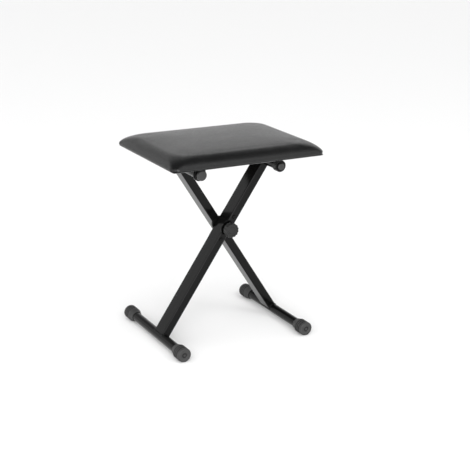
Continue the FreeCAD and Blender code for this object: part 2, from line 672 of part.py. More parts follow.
def lock_spring():
    # A coned washer that stands between the two plates
    inner = pivot_bore
    outer = LOCK_SPRING_DIAMETER / 2
    rise = LEG_GAP - 2 * LOCK_PLATE_THICKNESS - LOCK_SPRING_SHEET - LOCK_SPRING_CLEARANCE
    y0 = -leg_inner_y + LOCK_PLATE_THICKNESS + LOCK_SPRING_CLEARANCE
    outline = [(inner, 0), (outer, rise), (outer, rise + LOCK_SPRING_SHEET), (inner, LOCK_SPRING_SHEET)]
    return moved(revolved_y(outline, y0), 0, 0, PIVOT_HEIGHT)


def make_pivot():
    save("pivot_bolt", pivot_bolt())
    save("pivot_washer", pivot_washer())
    save("lock_spring", lock_spring())


# Clamp knob on the front end of the pivot bolt
def knob_back_y():
    return -leg_outer_y - CLAMP_WASHER_THICKNESS - KNOB_RUNNING_GAP


def clamp_washer():
    y1 = -leg_outer_y
    y0 = y1 - CLAMP_WASHER_THICKNESS
    disc = cylinder_y(CLAMP_WASHER_DIAMETER / 2, y0, y1, 0, PIVOT_HEIGHT)
    disc = disc.makeChamfer(CLAMP_WASHER_CHAMFER, edges_at_front(disc, y0))
    return disc.cut(cylinder_y(pivot_bore, y0, y1, 0, PIVOT_HEIGHT))


def clamp_knob():
    back = knob_back_y()
    front = back - KNOB_HEIGHT
    head = cylinder_y(KNOB_DIAMETER / 2, front, front + KNOB_HEAD_HEIGHT, 0, PIVOT_HEIGHT)
    reach = KNOB_DIAMETER / 2 + KNOB_FLUTE_RADIUS - KNOB_FLUTE_DEPTH
    flutes = []
    for index in range(KNOB_FLUTES):
        angle = 2 * math.pi * index / KNOB_FLUTES
        flutes.append(cylinder_y(KNOB_FLUTE_RADIUS, front, front + KNOB_HEAD_HEIGHT, reach * math.cos(angle),
                                 PIVOT_HEIGHT + reach * math.sin(angle)))
    head = head.cut(group(flutes))
    head = head.makeChamfer(KNOB_EDGE_RADIUS, edges_at_front(head, front))
    neck = cylinder_y(KNOB_NECK_DIAMETER / 2, front + KNOB_HEAD_HEIGHT, back, 0, PIVOT_HEIGHT)
    cap_seat = cylinder_y(KNOB_CAP_DIAMETER / 2, front, front + KNOB_CAP_THICKNESS, 0, PIVOT_HEIGHT)
    insert_seat = cylinder_y(KNOB_INSERT_DIAMETER / 2, back - KNOB_INSERT_LENGTH, back, 0, PIVOT_HEIGHT)
    return head.fuse(neck).cut(group([cap_seat, insert_seat])).removeSplitter()


def knob_insert():
    back = knob_back_y()
    bore = PIVOT_BOLT_DIAMETER / 2 + KNOB_THREAD_CLEARANCE
    return ring_y(KNOB_INSERT_DIAMETER / 2, bore, back - KNOB_INSERT_LENGTH, back, 0, PIVOT_HEIGHT)


def knob_cap():
    front = knob_back_y() - KNOB_HEIGHT
    return cylinder_y(KNOB_CAP_DIAMETER / 2, front, front + KNOB_CAP_THICKNESS, 0, PIVOT_HEIGHT)


def make_knob():
    save("clamp_washer", clamp_washer())
    save("clamp_knob", clamp_knob())
    save("knob_insert", knob_insert())
    save("knob_cap", knob_cap())


make_seat()
make_seat_fasteners()
make_seat_hardware()
make_legs()
make_cross_tubes()
make_pivot()
make_knob()

print("leg angle at the lowest setting", round(math.degrees(math.asin(low_rise)), 2))
print("foot x", round(foot_x, 2), "cross tube x", round(cross_x, 2), "cross tube z", round(cross_z, 2))
print("upper half", round(upper_half, 2), "lower half", round(lower_half, 2))
print("slide tube x at the lowest setting", round(low_cross_x, 2))
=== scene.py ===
import json
import math

import bpy
from mathutils import Matrix, Vector


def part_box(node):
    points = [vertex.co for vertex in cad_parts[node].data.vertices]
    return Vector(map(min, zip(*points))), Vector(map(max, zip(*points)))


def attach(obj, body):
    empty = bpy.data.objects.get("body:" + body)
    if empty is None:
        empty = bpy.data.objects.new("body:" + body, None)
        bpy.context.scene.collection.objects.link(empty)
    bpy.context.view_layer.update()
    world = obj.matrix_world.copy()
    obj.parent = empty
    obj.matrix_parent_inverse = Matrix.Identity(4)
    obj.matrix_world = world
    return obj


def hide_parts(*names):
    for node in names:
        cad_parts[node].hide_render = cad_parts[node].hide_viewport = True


# Folding keyboard bench: a vinyl pad on two crossed, powder-coated legs.
# Metres. +Z is up, +X runs along the seat's long side and -Y faces the clamp knob.

MM = 0.001

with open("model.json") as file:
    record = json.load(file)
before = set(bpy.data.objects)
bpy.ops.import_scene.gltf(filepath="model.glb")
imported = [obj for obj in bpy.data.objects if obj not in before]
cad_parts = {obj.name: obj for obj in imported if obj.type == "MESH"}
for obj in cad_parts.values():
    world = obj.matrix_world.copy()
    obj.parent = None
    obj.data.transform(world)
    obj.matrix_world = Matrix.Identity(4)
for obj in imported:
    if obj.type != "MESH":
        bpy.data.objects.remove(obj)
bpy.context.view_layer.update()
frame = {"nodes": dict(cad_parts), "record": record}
nodes = frame["nodes"]


# Places and sizes that the new pieces are fitted to
pad_low, pad_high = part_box("seat_cover")
board_low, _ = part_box("seat_board")
knob_low, knob_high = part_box("clamp_knob")
knob_cap_low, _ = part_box("knob_cap")
foot_bar_low, foot_bar_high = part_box("front_foot_bar")
slide_tube_low, slide_tube_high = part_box("slide_tube")
leg_low, leg_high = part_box("front_leg_tube")


def midline(low, high):
    """The point of a piece's centre line at the middle of the bench's depth."""
    return Vector(((low.x + high.x) / 2, 0, (low.z + high.z) / 2))


pad_half_x = (pad_high.x - pad_low.x) / 2
pad_half_y = (pad_high.y - pad_low.y) / 2
pivot = Vector((0, 0, (knob_low.z + knob_high.z) / 2))
foot_place = midline(foot_bar_low, foot_bar_high)
slide_place = midline(slide_tube_low, slide_tube_high)
tube_radius = (foot_bar_high.z - foot_bar_low.z) / 2
leg_direction = (slide_place - pivot).normalized()


# Shading
class Flow:
    """A value that runs from one shader node to the next, with arithmetic."""

    def __init__(self, graph, socket):
        self.graph = graph
        self.socket = socket

    def maths(self, operation, first, second):
        return self.graph.node("ShaderNodeMath", {"operation": operation}, {0: first, 1: second})

    def __add__(self, other):
        return self.maths("ADD", self, other)

    def __radd__(self, other):
        return self.maths("ADD", other, self)

    def __sub__(self, other):
        return self.maths("SUBTRACT", self, other)

    def __rsub__(self, other):
        return self.maths("SUBTRACT", other, self)

    def __mul__(self, other):
        return self.maths("MULTIPLY", self, other)

    def __rmul__(self, other):
        return self.maths("MULTIPLY", other, self)


class Graph:
    """A tree of shader nodes, built through one method."""

    def __init__(self, tree):
        self.tree = tree

    def node(self, kind, settings=None, inputs=None, output=0):
        added = self.tree.nodes.new(kind)
        for name, value in (settings or {}).items():
            if name == "stops":
                self.set_stops(added.color_ramp, value)
            else:
                setattr(added, name, value)
        for key, value in (inputs or {}).items():
            self.feed(added.inputs[key], value)
        return Flow(self, added.outputs[output])

    def set_stops(self, ramp, stops):
        while len(ramp.elements) < len(stops):
            ramp.elements.new(1.0)
        for element, (position, brightness) in zip(ramp.elements, stops):
            element.position = position
            element.color = (brightness, brightness, brightness, 1)

    def feed(self, socket, value):
        if isinstance(value, Flow):
            self.tree.links.new(value.socket, socket)
        else:
            socket.default_value = value


class Finish(Graph):
    """A surface finish. Its patterns lie on the object's own coordinates."""

    def __init__(self, name, **constants):
        self.material = bpy.data.materials.new(name)
        self.material.use_nodes = True
        super().__init__(self.material.node_tree)
        self.shader = self.tree.nodes["Principled BSDF"]
        self.shade(**constants)
        self.place = self.node("ShaderNodeTexCoord", output="Object")

    def shade(self, **sockets):
        for name, value in sockets.items():
            self.feed(self.shader.inputs[name.replace("_", " ")], value)

    def stretched(self, x, y, z):
        return self.node("ShaderNodeMapping", None, {"Vector": self.place, "Scale": (x, y, z)})

    def noise(self, scale, detail, place=None):
        """Cloudy pattern. scale is in features to the metre."""
        return self.node("ShaderNodeTexNoise", None,
                         {"Vector": place or self.place, "Scale": scale, "Detail": detail})

    def between(self, value, low, high):
        """0 below low, 1 above high and a soft step in between."""
        return self.node("ShaderNodeMapRange", {"interpolation_type": "SMOOTHSTEP"},
                         {"Value": value, "From Min": low, "From Max": high})

    def blend(self, share, first, second):
        # A colour mix has its colours on sockets 6 and 7 and its result on socket 2
        return self.node("ShaderNodeMix", {"data_type": "RGBA"}, {0: share, 6: first, 7: second}, output=2)

    def bump(self, height, depth, strength):
        self.shade(Normal=self.node("ShaderNodeBump", None,
                                    {"Height": height, "Distance": depth, "Strength": strength}))


def grey(value, tint=0.0):
    """A grey. A positive tint leans to blue and a negative one to red."""
    return (value * (1 - tint), value, value * (1 + tint), 1.0)


# Cells to the metre, the thickness of a ply, and the colours that aren't grey
VINYL_CELLS = 620.0
FOAM_CELLS = 900.0
PLY_THICKNESS = 1.7 * MM
BRASS_DARK = (0.62, 0.44, 0.17, 1)
BRASS_LIGHT = (0.78, 0.6, 0.3, 1)
PLY_DARK = (0.016, 0.013, 0.011, 1)
PLY_LIGHT = (0.045, 0.036, 0.028, 1)
PLY_PORE = (0.008, 0.007, 0.006, 1)
FOAM_PALE = (0.72, 0.68, 0.52, 1)
FOAM_DEEP = (0.5, 0.46, 0.33, 1)


def vinyl_finish():
    finish = Finish("leather_grain_vinyl", Specular_IOR_Level=0.38)
    wander = finish.noise(scale=120, detail=2)
    cells = finish.node("ShaderNodeTexVoronoi", {"feature": "DISTANCE_TO_EDGE"},
                        {"Vector": finish.place, "Scale": VINYL_CELLS})
    pebble = finish.between(cells, low=0.0, high=0.22)
    mottling = finish.noise(scale=14, detail=4)
    # The pebble share makes the colour darker in the grain's valleys and lighter on the pebble tops: painted
    # shade; the mottling is random tone
    finish.shade(Base_Color=finish.blend(mottling * 0.6 + pebble * 0.4, grey(0.003), grey(0.009, 0.02)),
                 Roughness=0.27 + 0.06 * mottling - 0.04 * pebble)
    finish.bump(pebble + wander * 0.5, depth=0.16 * MM, strength=0.5)
    return finish.material


def powder_coat_finish():
    finish = Finish("satin_black_powder_coat", Specular_IOR_Level=0.15, Coat_Roughness=0.12, Coat_IOR=1.3)
    peel = finish.noise(scale=520, detail=2)
    cloud = finish.noise(scale=22, detail=4)
    scratch_field = finish.noise(scale=9, detail=6, place=finish.stretched(14, 90, 5))
    scratches = finish.between(scratch_field, low=0.66, high=0.74)
    finish.shade(Base_Color=finish.blend(scratches * 0.35, grey(0.002), grey(0.03)),
                 Roughness=0.10 + 0.08 * cloud + 0.14 * scratches,
                 Coat_Weight=0.1 - 0.05 * scratches)
    finish.bump(peel + 0.3 * finish.noise(scale=2400, detail=1), depth=0.04 * MM, strength=0.5)
    return finish.material


def zinc_finish():
    finish = Finish("dark_zinc_plate", Metallic=1.0)
    turning = finish.noise(scale=60, detail=5, place=finish.stretched(1, 40, 1))
    stain = finish.noise(scale=140, detail=3)
    finish.shade(Base_Color=finish.blend(stain, grey(0.05, 0.02), grey(0.10, -0.01)),
                 Roughness=0.30 + 0.2 * turning + 0.1 * stain)
    finish.bump(turning, depth=0.04 * MM, strength=0.5)
    return finish.material


def rubber_finish():
    finish = Finish("matt_black_rubber", Specular_IOR_Level=0.35)
    groove_shade = finish.node("ShaderNodeAttribute", {"attribute_name": "groove"}, output="Fac")
    skin = finish.noise(scale=900, detail=4)
    bloom = finish.between(finish.noise(scale=45, detail=5), low=0.45, high=0.8)
    scuffed = finish.blend(bloom * 0.5, grey(0.032), grey(0.07))
    # The grooves and the moat get a near-black colour: painted shade in the recesses
    finish.shade(Base_Color=finish.blend(groove_shade, scuffed, grey(0.006)), Roughness=0.55 + 0.2 * bloom)
    finish.bump(skin, depth=0.12 * MM, strength=0.5)
    return finish.material


def moulded_finish(name, dark, light, roughness, pores):
    finish = Finish(name, Specular_IOR_Level=0.4)
    texture = finish.noise(scale=pores, detail=2)
    cloud = finish.noise(scale=35, detail=4)
    handling = finish.between(finish.noise(scale=70, detail=5), low=0.55, high=0.75)
    finish.shade(Base_Color=finish.blend(cloud * 0.7 + handling * 0.3, grey(dark), grey(light)),
                 Roughness=roughness + 0.10 * cloud - 0.07 * handling)
    finish.bump(texture, depth=0.06 * MM, strength=0.6)
    return finish.material


def brass_finish():
    finish = Finish("turned_brass", Metallic=1.0)
    turning = finish.noise(scale=80, detail=5, place=finish.stretched(1, 30, 1))
    finish.shade(Base_Color=finish.blend(turning, BRASS_DARK, BRASS_LIGHT),
                 Roughness=0.25 + 0.2 * turning)
    finish.bump(turning, depth=0.05 * MM, strength=0.4)
    return finish.material


def plywood_finish():
    finish = Finish("black_stained_plywood", Specular_IOR_Level=0.3)
    grain = finish.noise(scale=6, detail=7, place=finish.stretched(2, 34, 34))
    pore_field = finish.noise(scale=30, detail=3, place=finish.stretched(3, 60, 60))
    pores = finish.between(pore_field, low=0.6, high=0.72)
    height = finish.node("ShaderNodeSeparateXYZ", None, {0: finish.place}, output="Z")
    plies = finish.node("ShaderNodeMath", {"operation": "PINGPONG"}, {0: height, 1: PLY_THICKNESS})
    ply_tone = finish.between(plies, low=0.4 * MM, high=1.3 * MM)
    wood = finish.blend(grain * 0.7 + ply_tone * 0.3, PLY_DARK, PLY_LIGHT)
    finish.shade(Base_Color=finish.blend(pores * 0.5, wood, PLY_PORE),
                 Roughness=0.62 + 0.15 * grain)
    finish.bump(grain - 0.6 * pores, depth=0.25 * MM, strength=0.6)
    return finish.material


def foam_finish():
    finish = Finish("open_cell_foam", Specular_IOR_Level=0.2)
    cells = finish.node("ShaderNodeTexVoronoi", None, {"Vector": finish.place, "Scale": FOAM_CELLS})
    finish.shade(Base_Color=finish.blend(cells, FOAM_PALE, FOAM_DEEP),
                 Roughness=0.85 + 0.1 * cells)
    finish.bump(cells, depth=0.4 * MM, strength=0.7)
    return finish.material


# What dresses each material slot
finishes = {
    "black_steel": powder_coat_finish(),
    "zinc_steel": zinc_finish(),
    "vinyl": vinyl_finish(),
    "foam": foam_finish(),
    "plywood": plywood_finish(),
    "rubber": rubber_finish(),
    "nylon": moulded_finish("black_nylon", dark=0.014, light=0.03, roughness=0.42, pores=1500),
    "grey_plastic": moulded_finish("dark_grey_moulding", dark=0.022, light=0.045, roughness=0.38, pores=1800),
    "knob_plastic": moulded_finish("black_knob_moulding", dark=0.004, light=0.01, roughness=0.3, pores=1300),
    "brass": brass_finish(),
}


def dress_nodes():
    for subpart in frame["record"]["subparts"]:
        piece = nodes[subpart["node"]]
        piece.data.materials.clear()
        piece.data.materials.append(finishes[subpart["material_slot"]])


# Modelling helpers
MERGE_DISTANCE = 0.01 * MM


def clear_selection():
    if bpy.context.object and bpy.context.object.mode != "OBJECT":
        bpy.ops.object.mode_set(mode="OBJECT")
    bpy.ops.object.select_all(action="DESELECT")


def make_active(piece):
    clear_selection()
    piece.select_set(True)
    bpy.context.view_layer.objects.active = piece


def begin(name):
    """Names the primitive just added, moves its place into its mesh and opens it for editing."""
    piece = bpy.context.object
    piece.name = name
    piece.data.name = name
    bpy.ops.object.transform_apply(location=True, rotation=True, scale=True)
    bpy.ops.object.mode_set(mode="EDIT")
    bpy.ops.mesh.select_all(action="SELECT")
    return piece


def choose(piece, test):
    """Selects the vertices that pass the test."""
    bpy.ops.mesh.select_mode(type="VERT")
    bpy.ops.mesh.select_all(action="DESELECT")
    bpy.ops.object.mode_set(mode="OBJECT")
    for vertex in piece.data.vertices:
        vertex.select = test(vertex)
    bpy.ops.object.mode_set(mode="EDIT")


def close_up(piece):
    """Merges doubles, turns the faces outwards and goes back to object mode."""
    bpy.ops.mesh.select_mode(type="VERT")
    bpy.ops.mesh.select_all(action="SELECT")
    bpy.ops.mesh.remove_doubles(threshold=MERGE_DISTANCE)
    bpy.ops.mesh.normals_make_consistent(inside=False)
    bpy.ops.object.mode_set(mode="OBJECT")
    return piece


def smooth(piece, angle):
    make_active(piece)
    bpy.ops.object.shade_smooth_by_angle(angle=math.radians(angle))


def apply_modifier(piece, name, kind, **settings):
    modifier = piece.modifiers.new(name, kind)
    for key, value in settings.items():
        setattr(modifier, key, value)
    make_active(piece)
    bpy.ops.object.modifier_apply(modifier=name)


def finish_piece(piece, body, slot, *replaced):
    piece.data.materials.clear()
    piece.data.materials.append(finishes[slot])
    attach(piece, body)
    if replaced:
        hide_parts(*replaced)


def turned(name, outline, front, sides, towards=1.0):
    """A turned piece on an axis along Y.

    outline holds (radius, distance behind the front) in millimetres. towards is -1 for a mirrored piece.
    """
    clear_selection()
    radius, along = outline[0]
    bpy.ops.mesh.primitive_circle_add(vertices=sides, radius=radius * MM, fill_type="NGON",
                                      location=front + Vector((0, towards * along * MM, 0)),
                                      rotation=(math.pi / 2, 0, 0))
    piece = begin(name)
    for next_radius, next_along in outline[1:]:
        step = towards * (next_along - along) * MM
        bpy.ops.mesh.extrude_region_move(TRANSFORM_OT_translate={"value": (0, step, 0)})
        share = next_radius / radius
        centre = front + Vector((0, towards * next_along * MM, 0))
        bpy.ops.transform.resize(value=(share, 1, share), center_override=centre)
        radius, along = next_radius, next_along
    return close_up(piece)


# Seat cushion
EDGE_RUN = 33 * MM  # from the pad's side in to its shoulder
EDGE_FULLNESS = 1.75  # 2 is an ellipse and 1 a straight slope
EDGE_STEPS = 24
TUCK = 5 * MM  # round under the pad's widest line
TUCK_STEPS = 3
PAD_FLOOR = 0.4 * MM  # above the board's underside
CROWN = 3.6 * MM  # from the shoulder up to the middle
CROWN_REACH = 0.95
CROWN_STEPS = 14
PAD_CORNER = 14 * MM
SHOULDER_CORNER = 42 * MM
CORNER_STEPS = 20
CORNER_BLEND = 1.5
SAME_HEIGHT = 0.001 * MM
PAD_SHRINK = 0.6 * MM
PAD_SWELL = 1.2 * MM
HOLD_HEIGHT = 6 * MM  # the cloth is held below this height over the tuck
FORM_SHARE = 0.7  # how far the swollen pad goes back to its blank
VOXEL = 5 * MM
EVENING_PASSES = 4
SETTLING_PASSES = 5
SIM_FRAMES = 20
CLOTH = {
    "quality": 6,
    "mass": 0.4,
    "tension_stiffness": 20,
    "compression_stiffness": 20,
    "bending_stiffness": 10,
    "shrink_min": 0.006,
    "use_pressure": True,
    "uniform_pressure_force": 4,
    "vertex_group_mass": "held",
}
PLEATS = 3
PLEAT_REACH = 40 * MM
PLEAT_HEIGHT = 20 * MM
PLEAT_FADE = 1.5
PLEAT_DEPTH = 1.3 * MM


def pad_rings(widest_z, shoulder_z, floor_z):
    """Inset and height of each ring of the pad's side, from its tucked lower edge to its crown."""
    rings = []
    for step in range(1, TUCK_STEPS + 1):
        turn = math.pi / 2 * step / TUCK_STEPS
        rings.append((TUCK * (1 - math.sin(turn)), widest_z - (widest_z - floor_z) * math.cos(turn)))
    power = 2 / EDGE_FULLNESS
    for step in range(1, EDGE_STEPS + 1):
        turn = math.pi / 2 * step / EDGE_STEPS
        rings.append((EDGE_RUN * (1 - math.cos(turn) ** power),
                      widest_z + (shoulder_z - widest_z) * math.sin(turn) ** power))
    for step in range(1, CROWN_STEPS):
        share = step / CROWN_STEPS
        rings.append((EDGE_RUN + (pad_half_y - EDGE_RUN) * CROWN_REACH * share,
                      shoulder_z + CROWN * (1 - (1 - share) ** 2)))
    return rings


def pad_blank():
    """The stuffed pad before it swells.

    It is drawn up ring by ring with one corner radius. Each ring is then given its own radius, tight at the
    board and wide at the shoulder.
    """
    half_x = pad_half_x - PAD_SHRINK
    half_y = pad_half_y - PAD_SHRINK
    floor_z = board_low.z + PAD_FLOOR
    widest_z = pad_low.z + TUCK
    shoulder_z = pad_high.z - CROWN
    clear_selection()
    bpy.ops.mesh.primitive_plane_add(size=1, location=(0, 0, floor_z))
    bpy.context.object.scale = (2 * (half_x - TUCK), 2 * (half_y - TUCK), 1)
    pad = begin("pad_blank")
    bpy.ops.mesh.bevel(affect="VERTICES", offset=PAD_CORNER - TUCK, segments=CORNER_STEPS)
    bpy.ops.mesh.select_all(action="SELECT")
    size = Vector((half_x - TUCK, half_y - TUCK, floor_z))
    corner = PAD_CORNER - TUCK
    rings = pad_rings(widest_z, shoulder_z, floor_z)
    for inset, z in rings:
        bpy.ops.mesh.extrude_region_move(TRANSFORM_OT_translate={"value": (0, 0, z - size.z)})
        target = Vector((half_x - inset, half_y - inset, z))
        share = (target.x / size.x, target.y / size.y, 1)
        bpy.ops.transform.resize(value=share, center_override=(0, 0, z))
        size = target
    close_up(pad)
    start = Vector((half_x - TUCK, half_y - TUCK))
    for inset, z in rings:
        share = min(1.0, max(0.0, (z - widest_z) / (shoulder_z - widest_z)))
        ring_x = half_x - inset
        ring_y = half_y - inset
        radius = PAD_CORNER + (SHOULDER_CORNER - PAD_CORNER) * share ** CORNER_BLEND
        if inset > EDGE_RUN:
            # On the crown the corners shrink with the rings
            radius *= ring_y / (half_y - EDGE_RUN)
        for vertex in pad.data.vertices:
            if abs(vertex.co.z - z) > SAME_HEIGHT:
                continue
            across = abs(vertex.co.x) * start.x / ring_x - (start.x - corner)
            deep = abs(vertex.co.y) * start.y / ring_y - (start.y - corner)
            turn = min(math.pi / 2, max(0.0, math.atan2(deep, across)))
            vertex.co.x = math.copysign(ring_x - radius + radius * math.cos(turn), vertex.co.x)
            vertex.co.y = math.copysign(ring_y - radius + radius * math.sin(turn), vertex.co.y)
    return pad


def pleat(pad):
    """Short creases where the cover is gathered round the board's corners."""
    for vertex in pad.data.vertices:
        across = abs(vertex.co.x) - (pad_half_x - PLEAT_REACH)
        deep = abs(vertex.co.y) - (pad_half_y - PLEAT_REACH)
        height = vertex.co.z - pad_low.z
        if across < 0 or deep < 0 or height > PLEAT_HEIGHT:
            continue
        turn = math.atan2(deep, across) / (math.pi / 2)
        fade = math.sin(math.pi * turn) * (1 - height / PLEAT_HEIGHT) ** PLEAT_FADE
        depth = PLEAT_DEPTH * fade * (0.5 + 0.5 * math.cos(2 * math.pi * PLEATS * (turn - 0.5)))
        outward = Vector((math.copysign(across, vertex.co.x), math.copysign(deep, vertex.co.y), 0))
        vertex.co -= outward.normalized() * depth


def swell(pad):
    """Blows the pad up under its cover, by PAD_SWELL at most. What is drawn over the board's edge is held."""
    rest = [vertex.co.copy() for vertex in pad.data.vertices]
    cloth = pad.modifiers.new("swell", "CLOTH")
    for key, value in CLOTH.items():
        setattr(cloth.settings, key, value)
    cloth.settings.effector_weights.gravity = 0
    cloth.point_cache.frame_start = 1
    cloth.point_cache.frame_end = SIM_FRAMES
    for number in range(1, SIM_FRAMES + 1):
        bpy.context.scene.frame_set(number)
    depsgraph = bpy.context.evaluated_depsgraph_get()
    blown = [vertex.co.copy() for vertex in pad.evaluated_get(depsgraph).data.vertices]
    pad.modifiers.remove(cloth)
    bpy.context.scene.frame_set(1)
    for vertex, start, end in zip(pad.data.vertices, rest, blown):
        move = end - start
        if move.length > 0:
            move *= PAD_SWELL * math.tanh(move.length / PAD_SWELL) / move.length
        vertex.co = start + move
    pad.data.update()


def seat_cushion():
    blank = pad_blank()
    pad = blank.copy()
    pad.data = blank.data.copy()
    bpy.context.scene.collection.objects.link(pad)
    apply_modifier(pad, "voxels", "REMESH", mode="VOXEL", voxel_size=VOXEL)
    held = pad.vertex_groups.new(name="held")
    form = pad.vertex_groups.new(name="form")
    for vertex in pad.data.vertices:
        grip = 1 - (vertex.co.z - pad_low.z - TUCK) / HOLD_HEIGHT
        held.add([vertex.index], min(1.0, max(0.0, grip)), "REPLACE")
        form.add([vertex.index], min(1.0, max(FORM_SHARE, grip)), "REPLACE")
    apply_modifier(pad, "even", "SMOOTH", factor=0.5, iterations=EVENING_PASSES)
    swell(pad)
    apply_modifier(pad, "settle", "SMOOTH", factor=0.5, iterations=SETTLING_PASSES)
    apply_modifier(pad, "round", "SUBSURF", levels=1, render_levels=1)
    apply_modifier(pad, "drawn_tight", "SHRINKWRAP", target=blank, vertex_group="form")
    bpy.data.objects.remove(blank)
    pleat(pad)
    pad.name = "seat_cushion"
    pad.data.name = "seat_cushion"
    pad.vertex_groups.clear()
    smooth(pad, angle=60)
    finish_piece(pad, "seat", "vinyl", "seat_cover", "seat_foam")


# Cover's fold under the board, gathered at the corners
FOLD_REACH = 26 * MM
FOLD_START = 3.0 * MM
FOLD_RINGS = (4.5 * MM, 6 * MM, 9 * MM, 14 * MM, 20 * MM, FOLD_REACH)
FOLD_RISE = 1.5 * MM
FOLD_WALL = 0.8 * MM
FOLD_CORNER_SIDES = 30
GATHER_REACH = 42 * MM
GATHER_DEPTH = 1.1 * MM
GATHER_FADE = 12 * MM
GATHERS = 6


def cover_fold():
    clear_selection()
    size = Vector((pad_half_x - FOLD_START, pad_half_y - FOLD_START))
    bpy.ops.mesh.primitive_plane_add(size=1, location=(0, 0, pad_low.z))
    bpy.context.object.scale = (2 * size.x, 2 * size.y, 1)
    fold = begin("cover_fold")
    bpy.ops.mesh.bevel(affect="VERTICES", offset=PAD_CORNER - FOLD_START, segments=FOLD_CORNER_SIDES)
    bpy.ops.mesh.select_all(action="SELECT")
    for inset in FOLD_RINGS:
        bpy.ops.mesh.extrude_region_move()
        target = Vector((pad_half_x - inset, pad_half_y - inset))
        share = (target.x / size.x, target.y / size.y, 1)
        bpy.ops.transform.resize(value=share, center_override=(0, 0, pad_low.z))
        size = target
    # The faces with many sides are the plane that the rings began from and the one they end at
    bpy.ops.mesh.select_face_by_sides(number=4, type="GREATER", extend=False)
    bpy.ops.mesh.delete(type="FACE")
    close_up(fold)
    for vertex in fold.data.vertices:
        reach_x = pad_half_x - abs(vertex.co.x)
        reach_y = pad_half_y - abs(vertex.co.y)
        inset = min(reach_x, reach_y)
        vertex.co.z += FOLD_RISE * max(0.0, 1 - (inset - FOLD_START) / FOLD_START)
        if reach_x < GATHER_REACH and reach_y < GATHER_REACH:
            turn = math.atan2(GATHER_REACH - reach_y, GATHER_REACH - reach_x) / (math.pi / 2)
            share = min(1.0, inset / GATHER_FADE) * math.sin(math.pi * turn)
            vertex.co.z -= GATHER_DEPTH * share * (0.5 - 0.5 * math.cos(2 * math.pi * GATHERS * turn))
    apply_modifier(fold, "wall", "SOLIDIFY", thickness=FOLD_WALL, offset=1)
    smooth(fold, angle=50)
    finish_piece(fold, "seat", "vinyl")


# Rubber boots on the foot bars
BOOT_SIDES = 56
BOOT_RADIUS = 16.5
BOOT_ROUND = 3.0
BOOT_ROUND_STEPS = 5
BOOT_GROOVES = (9.0, 15.0, 21.0)
# Outlines hold (radius, distance behind the front), and the groove (depth, distance along), in millimetres
BOOT_NUB = [(0.4, 0.5), (2.3, 0.5), (2.9, 0.8), (3.1, 1.5), (5.8, 1.6), (6.3, 1.3), (6.7, 0.4), (7.4, 0.0),
            (13.3, 0.0)]
BOOT_GROOVE = [(0.0, -1.2), (0.5, -0.8), (1.7, -0.3), (1.9, 0.8), (1.7, 1.9), (0.5, 2.4), (0.0, 2.8)]
BOOT_FLARE = [(16.5, 26.6), (16.25, 27.8), (15.3, 30.4), (14.0, 33.6), (13.1, 36.4), (12.9, 38.2),
              (12.9, 39.3), (12.5, 40.0), (11.3, 40.0), (11.03, 39.6), (11.03, 5.4), (0.4, 5.4)]
# Painted shade on the rubber: the grooves and the moat round the nub are coloured darker, where shade falls
GROOVE_SHADE_SPAN = (7.5 * MM, 25 * MM)
GROOVE_EDGE = 0.3 * MM
BORE = 12 * MM
MOAT_DEPTH = 1.2 * MM
MOAT_RADIUS = 6 * MM


def boot_outline():
    outline = list(BOOT_NUB)
    for step in range(1, BOOT_ROUND_STEPS + 1):
        turn = math.pi / 2 * step / BOOT_ROUND_STEPS
        outline.append((BOOT_RADIUS - BOOT_ROUND * (1 - math.sin(turn)), BOOT_ROUND * (1 - math.cos(turn))))
    for groove in BOOT_GROOVES:
        for depth, shift in BOOT_GROOVE:
            outline.append((BOOT_RADIUS - depth, groove + shift))
    return outline + BOOT_FLARE


def paint_groove_shade(boot, place):
    """Writes the attribute that paints shade into the rubber's grooves and moat."""
    groove_shade = boot.data.attributes.new("groove", "FLOAT", "POINT")
    groove_start, groove_end = GROOVE_SHADE_SPAN
    for vertex, mark in zip(boot.data.vertices, groove_shade.data):
        radius = math.hypot(vertex.co.x - place.x, vertex.co.z - place.z)
        along = abs(vertex.co.y - place.y)
        in_groove = groove_start < along < groove_end and BORE < radius < BOOT_RADIUS * MM - GROOVE_EDGE
        in_moat = MOAT_DEPTH < along < groove_start and radius < MOAT_RADIUS
        mark.value = 1.0 if in_groove or in_moat else 0.0


def foot_boots():
    for leg, body in (("front", "front_leg"), ("back", "back_leg")):
        for end in ("front", "back"):
            node = leg + "_foot_cap_" + end
            low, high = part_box(node)
            front_y, towards = (low.y, 1.0) if end == "front" else (high.y, -1.0)
            place = Vector(((low.x + high.x) / 2, front_y, (low.z + high.z) / 2))
            boot = turned(leg + "_boot_" + end, boot_outline(), place, BOOT_SIDES, towards)
            paint_groove_shade(boot, place)
            smooth(boot, angle=50)
            finish_piece(boot, body, "rubber", node)


# Clamp knob
KNOB_FLUTES = 14
FLUTE_SIDES = 6
# (share of the radius left, sides of each flute that are drawn in)
FLUTE_CUTS = ((0.922, (0,)), (0.955, (1, FLUTE_SIDES - 1)))
FLUTE_LENGTH = 13.2 * MM
FLUTED_RADIUS = 14.9 * MM
KNOB_OUTLINE = [(0.4, 1.6), (9.9, 1.6), (10.0, 1.5), (10.0, 0.5), (10.25, 0.1), (10.8, 0.0), (15.2, 0.0),
                (16.4, 0.3), (17.1, 0.9), (17.5, 1.9), (17.5, 11.2), (17.2, 12.2), (16.4, 12.8), (15.2, 13.0),
                (13.2, 13.3), (12.3, 14.1), (12.0, 15.2), (12.0, 18.5), (11.5, 19.0), (6.6, 19.0),
                (6.53, 18.8), (6.53, 7.0), (0.4, 7.0)]
KNOB_CAP_SIDES = 64
KNOB_CAP_OUTLINE = [(0.4, 0.35), (4.0, 0.3), (7.5, 0.12), (8.7, 0.0), (9.3, 0.1), (9.7, 0.45), (9.9, 0.9),
                    (9.9, 1.55), (0.4, 1.55)]


